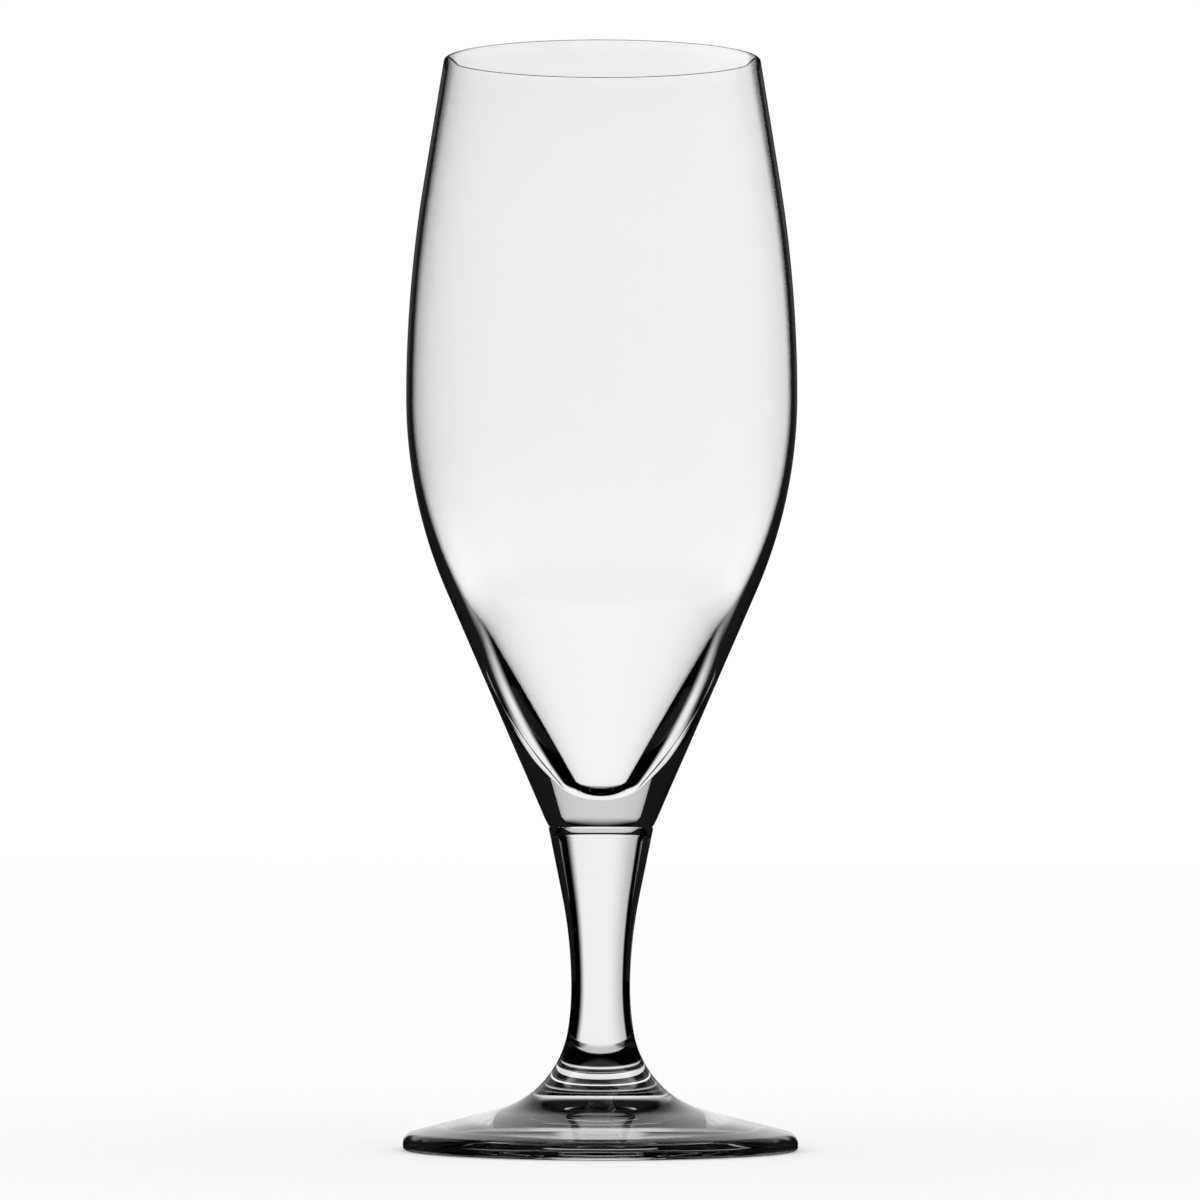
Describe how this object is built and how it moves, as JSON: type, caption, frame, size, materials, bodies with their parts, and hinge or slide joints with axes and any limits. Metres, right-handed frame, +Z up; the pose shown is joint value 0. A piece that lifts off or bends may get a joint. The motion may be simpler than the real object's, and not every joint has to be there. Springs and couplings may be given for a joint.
{
  "type": "tulip beer glass",
  "caption": "Stemmed clear beer glass with a tulip bowl that narrows to a rounded rim, a waisted solid stem and a round sloping foot.",
  "frame": {"origin": "centre of the foot on the plane it rests on", "axes": "+Z up along the axis of the glass, +Y away from the viewer of the picture, +X to their right"},
  "size_m": [0.074, 0.074, 0.205],
  "materials": {
    "clear_glass": "clear, fire polished"
  },
  "bodies": {
    "root": {"bowl": "clear_glass", "stem": "clear_glass", "foot": "clear_glass"}
  },
  "joints": []
}
